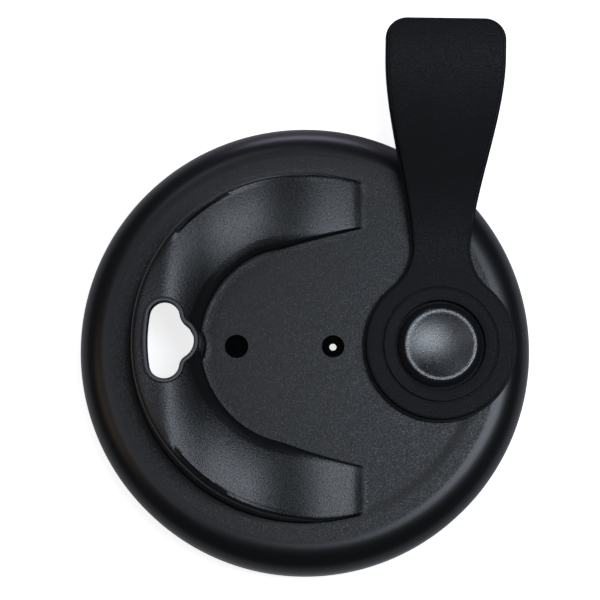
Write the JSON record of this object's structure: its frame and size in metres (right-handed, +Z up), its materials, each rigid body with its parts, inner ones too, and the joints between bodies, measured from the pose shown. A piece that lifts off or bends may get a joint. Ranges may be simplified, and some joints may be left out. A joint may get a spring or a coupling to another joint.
{
  "type": "coffee cup lid",
  "caption": "Round press-on drinking lid with a raised crescent mouthpiece and a soft swivelling closure strap held by a stud.",
  "frame": {"origin": "on the lid's axis at the bottom edge of the skirt, where the cup goes in", "axes": "+Z up out of the cup, -X towards the mouthpiece, +X towards the stud, +Y towards the strap's tip as shown"},
  "size_m": [0.096, 0.1149, 0.0293],
  "materials": {
    "lid_plastic": "black polypropylene with a fine moulded grain on its flat faces",
    "stud_plastic": "black polypropylene, satin",
    "strap_rubber": "matt black thermoplastic elastomer"
  },
  "bodies": {
    "lid": {"lid": "lid_plastic", "stud": "stud_plastic"},
    "strap": {"strap": "strap_rubber"}
  },
  "joints": [
    {"name": "strap_swivel", "type": "hinge", "parent": "lid", "child": "strap", "pos_m": [0.0283, 0, 0.0132], "axis": [0, 0, 1], "continuous": true}
  ]
}
